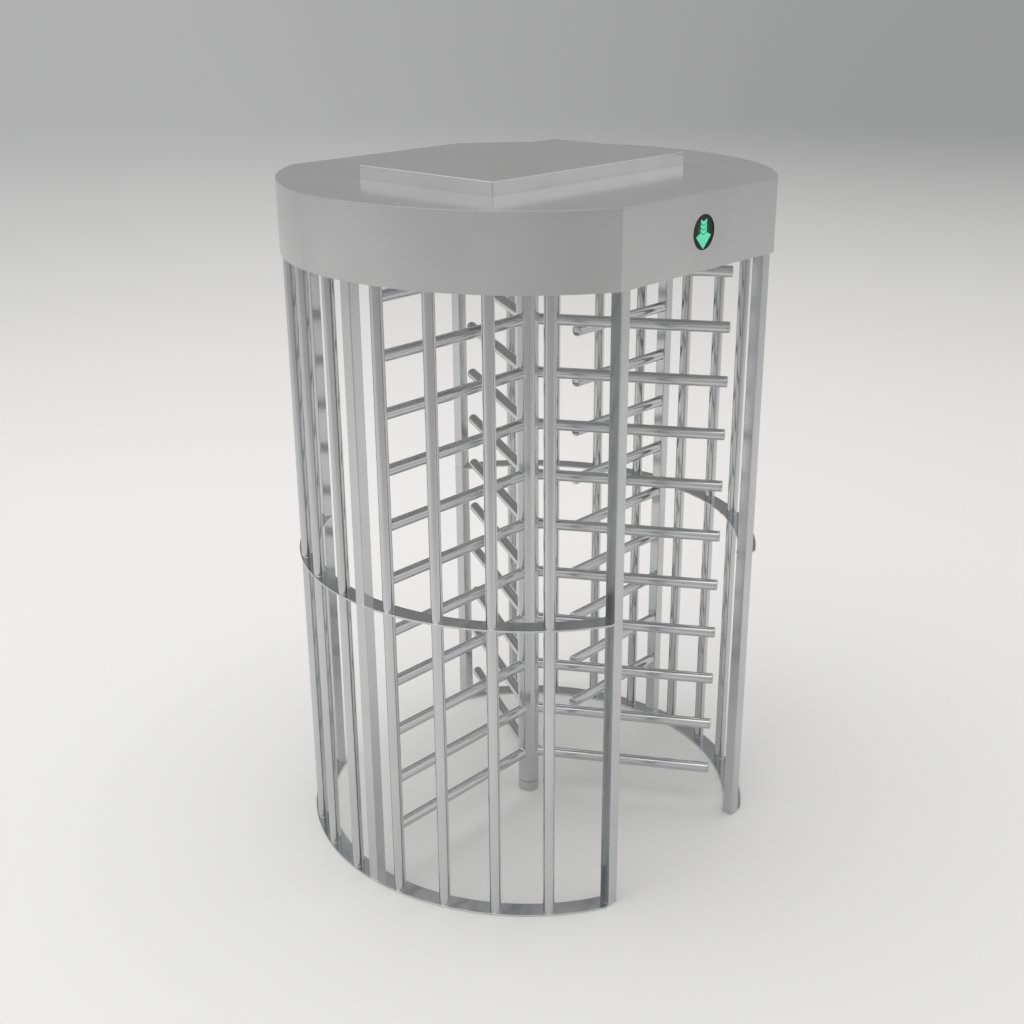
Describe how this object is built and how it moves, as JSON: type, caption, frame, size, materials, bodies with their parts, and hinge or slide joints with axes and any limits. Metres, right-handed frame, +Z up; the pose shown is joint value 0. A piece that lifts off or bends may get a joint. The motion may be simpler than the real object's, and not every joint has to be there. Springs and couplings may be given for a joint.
{
  "type": "full-height turnstile",
  "caption": "Full-height visitor turnstile: a winged rotor in a barred steel lane under a drum canopy, with a fixed comb, lock pawls and a geared visitor counter.",
  "frame": {"origin": "on the floor at the rotor's axis", "axes": "+Z up; -Y is the entry side, +Y the exit side; the comb post is on +X and the passage goes round by -X"},
  "size_m": [1.604, 1.4, 2.341],
  "materials": {
    "stainless": "satin polished stainless tube, soft mirror",
    "satin_steel": "satin ground stainless sheet, blurred mirror",
    "machined_steel": "fine turned steel",
    "zinc_plate": "dull zinc plating",
    "hardened_steel": "dark hardened steel, oiled",
    "brass": "machined brass",
    "black_plastic": "fine textured black",
    "grey_plastic": "textured grey enclosure",
    "indicator_lens": "dark smoked lens",
    "indicator_green": "lit green diffuser"
  },
  "bodies": {
    "frame": {"left_front_post": "stainless", "left_middle_post": "stainless", "left_rear_post": "stainless", "left_tube_1": "stainless", "left_tube_2": "stainless", "left_tube_3": "stainless", "left_tube_4": "stainless", "left_tube_5": "stainless", "left_tube_6": "stainless", "left_tube_7": "stainless", "left_tube_8": "stainless", "left_base_ring": "stainless", "left_mid_ring": "stainless", "left_top_ring": "stainless", "right_front_post": "stainless", "right_comb_post": "stainless", "right_rear_post": "stainless", "right_tube_1": "stainless", "right_tube_2": "stainless", "right_tube_3": "stainless", "right_tube_4": "stainless", "right_tube_5": "stainless", "right_tube_6": "stainless", "right_tube_7": "stainless", "right_tube_8": "stainless", "right_base_ring": "stainless", "right_mid_ring": "stainless", "right_top_ring": "stainless", "floor_bearing": "machined_steel", "head_bearing": "zinc_plate", "front_rail": "zinc_plate", "rear_rail": "zinc_plate", "head_plate": "zinc_plate", "canopy_skirt": "satin_steel", "roof_panel": "satin_steel", "ceiling_panel": "satin_steel", "roof_cover": "satin_steel", "entry_solenoid": "black_plastic", "exit_solenoid": "black_plastic", "counter_body": "black_plastic", "damper_body": "machined_steel", "controller_box": "grey_plastic", "indicator_bezel": "black_plastic", "indicator_lens": "indicator_lens", "indicator_arrow": "indicator_green"},
    "rotor": {"wing_left": "stainless", "wing_front": "stainless", "wing_rear": "stainless", "rotor_core": "machined_steel", "rotor_foot": "hardened_steel", "rotor_head_shaft": "machined_steel", "lock_wheel": "hardened_steel", "drive_gear": "brass"},
    "entry_pawl": {"entry_pawl": "hardened_steel"},
    "exit_pawl": {"exit_pawl": "hardened_steel"},
    "entry_plunger": {"entry_plunger": "machined_steel"},
    "exit_plunger": {"exit_plunger": "machined_steel"},
    "counter_pinion": {"counter_pinion": "brass"},
    "damper_pinion": {"damper_pinion": "brass"}
  },
  "joints": [
    {"name": "rotor_spin", "type": "hinge", "parent": "frame", "child": "rotor", "pos_m": [0, 0, 0], "axis": [0, 0, 1], "continuous": true},
    {"name": "entry_pawl_swing", "type": "hinge", "parent": "frame", "child": "entry_pawl", "pos_m": [0.095, 0.107, 2.206], "axis": [0, 0, 1], "range_deg": [0, 8]},
    {"name": "exit_pawl_swing", "type": "hinge", "parent": "frame", "child": "exit_pawl", "pos_m": [-0.095, -0.107, 2.206], "axis": [0, 0, 1], "range_deg": [0, 8]},
    {"name": "entry_plunger_slide", "type": "slide", "parent": "frame", "child": "entry_plunger", "axis": [0, 1, 0], "range_m": [0, 0.0065]},
    {"name": "exit_plunger_slide", "type": "slide", "parent": "frame", "child": "exit_plunger", "axis": [0, -1, 0], "range_m": [0, 0.0065]},
    {"name": "counter_pinion_spin", "type": "hinge", "parent": "frame", "child": "counter_pinion", "pos_m": [-0.12, 0, 2.237], "axis": [0, 0, 1], "continuous": true},
    {"name": "damper_pinion_spin", "type": "hinge", "parent": "frame", "child": "damper_pinion", "pos_m": [0.12, 0, 2.237], "axis": [0, 0, 1], "continuous": true}
  ],
  "couplings": [
    {"joint": "entry_plunger_slide", "follows": "entry_pawl_swing", "m_per_rad": 0.045},
    {"joint": "exit_plunger_slide", "follows": "exit_pawl_swing", "m_per_rad": 0.045},
    {"joint": "counter_pinion_spin", "follows": "rotor_spin", "ratio": -3},
    {"joint": "damper_pinion_spin", "follows": "rotor_spin", "ratio": -3}
  ]
}
